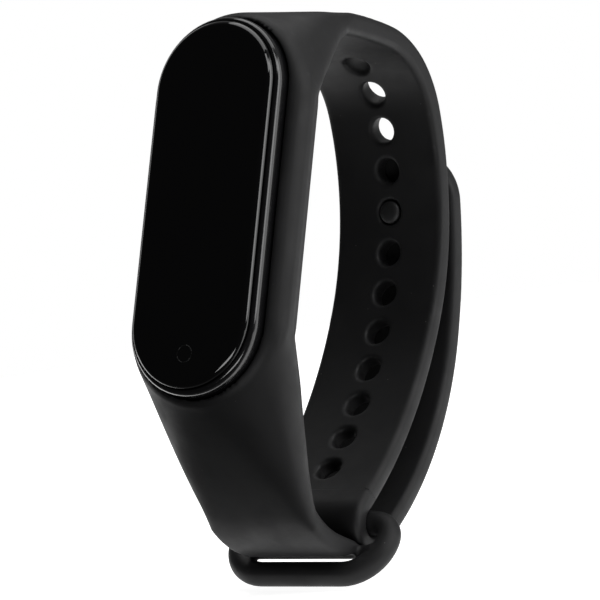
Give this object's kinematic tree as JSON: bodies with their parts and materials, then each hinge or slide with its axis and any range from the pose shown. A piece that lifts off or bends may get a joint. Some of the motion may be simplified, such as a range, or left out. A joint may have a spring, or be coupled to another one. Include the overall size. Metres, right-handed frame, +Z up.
{
  "type": "fitness tracker band",
  "caption": "Silicone wristband with a pill-shaped tracker pod in a cradle; a strap passes through an oval ring, folds back and is held by a stud in a row of holes.",
  "frame": {"origin": "Middle of the opening that the wrist goes through, on the band's mirror plane.", "axes": "+Z up through the top of the wrist opening, X along the forearm; the display faces -Y and leans back 18 degrees, so its outward normal is in the -Y +Z quadrant."},
  "size_m": [0.0246, 0.054, 0.0713],
  "materials": {
    "silicone": "matt moulded silicone",
    "ring_silicone": "smooth moulded silicone",
    "stud_plastic": "satin black",
    "cover_glass": "black printed, polished",
    "film": "smooth",
    "display": "dark, polished",
    "polyimide": "amber film",
    "housing": "fine satin",
    "seal": "soft adhesive",
    "lens": "polished",
    "shield_plastic": "matt",
    "lamp": "clear green",
    "sensor": "clear grey",
    "gold": "gold plated",
    "board": "green solder mask",
    "tin": "tinned",
    "chip": "moulded",
    "cell": "laminated foil",
    "nickel": "nickel strip",
    "copper": "copper",
    "steel": "drawn steel",
    "tungsten": "sintered"
  },
  "bodies": {
    "band": {"cradle": "silicone", "retaining_lip": "silicone", "top_strap": "silicone", "crown_strap": "silicone", "back_strap": "silicone", "lower_back_strap": "silicone", "fold_strap": "silicone", "tail_strap": "silicone", "tail_web": "silicone", "short_strap": "silicone", "clasp_ring": "ring_silicone"},
    "tail": {"tail_tip": "silicone", "clasp_stud": "stud_plastic"},
    "pod": {"cover_glass": "cover_glass", "touch_film": "film", "display_panel": "display", "display_flex": "polyimide", "mid_frame": "housing", "seal_ring": "seal", "back_cover": "housing", "sensor_lens": "lens", "light_shield": "shield_plastic", "led_left": "lamp", "led_right": "lamp", "photodiode": "sensor", "charge_pad_left": "gold", "charge_pad_right": "gold", "main_board": "board", "shield_can": "tin", "motion_chip": "chip", "battery": "cell", "battery_tab": "nickel", "antenna": "copper", "motor_case": "steel", "motor_shaft": "steel"},
    "motor_rotor": {"motor_weight": "tungsten"}
  },
  "joints": [
    {"name": "tail_peel", "type": "hinge", "parent": "band", "child": "tail", "pos_m": [0, 0.01731, -0.01068], "axis": [-1, 0, 0], "range_deg": [0, 75], "deforming": ["tail_web"]},
    {"name": "pod_release", "type": "slide", "parent": "band", "child": "pod", "axis": [0, -0.9511, 0.309], "range_m": [0, 0.014], "deforming": ["retaining_lip"]},
    {"name": "motor_spin", "type": "hinge", "parent": "pod", "child": "motor_rotor", "pos_m": [0, -0.02495, -0.0064], "axis": [0, -0.9511, 0.309], "continuous": true}
  ]
}
